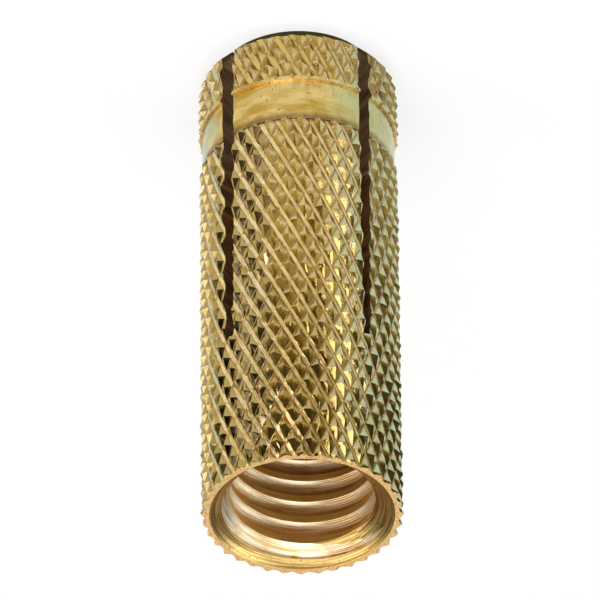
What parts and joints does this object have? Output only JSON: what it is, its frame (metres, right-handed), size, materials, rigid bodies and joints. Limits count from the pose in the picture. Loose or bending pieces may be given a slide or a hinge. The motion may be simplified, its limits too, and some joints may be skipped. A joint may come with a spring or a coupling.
{
  "type": "threaded insert",
  "caption": "Knurled brass expansion insert with an internal thread, a plain neck and a cross-slotted end that a screw spreads in a drilled hole.",
  "frame": {"origin": "middle of the slotted end, which the insert stands on", "axes": "+Z along the bore, out of the mouth; the two saw cuts lie along X and Y"},
  "size_m": [0.0118, 0.0118, 0.032],
  "materials": {
    "brass": "turned and knurled, bare"
  },
  "bodies": {
    "root": {"insert_body": "brass"}
  },
  "joints": []
}
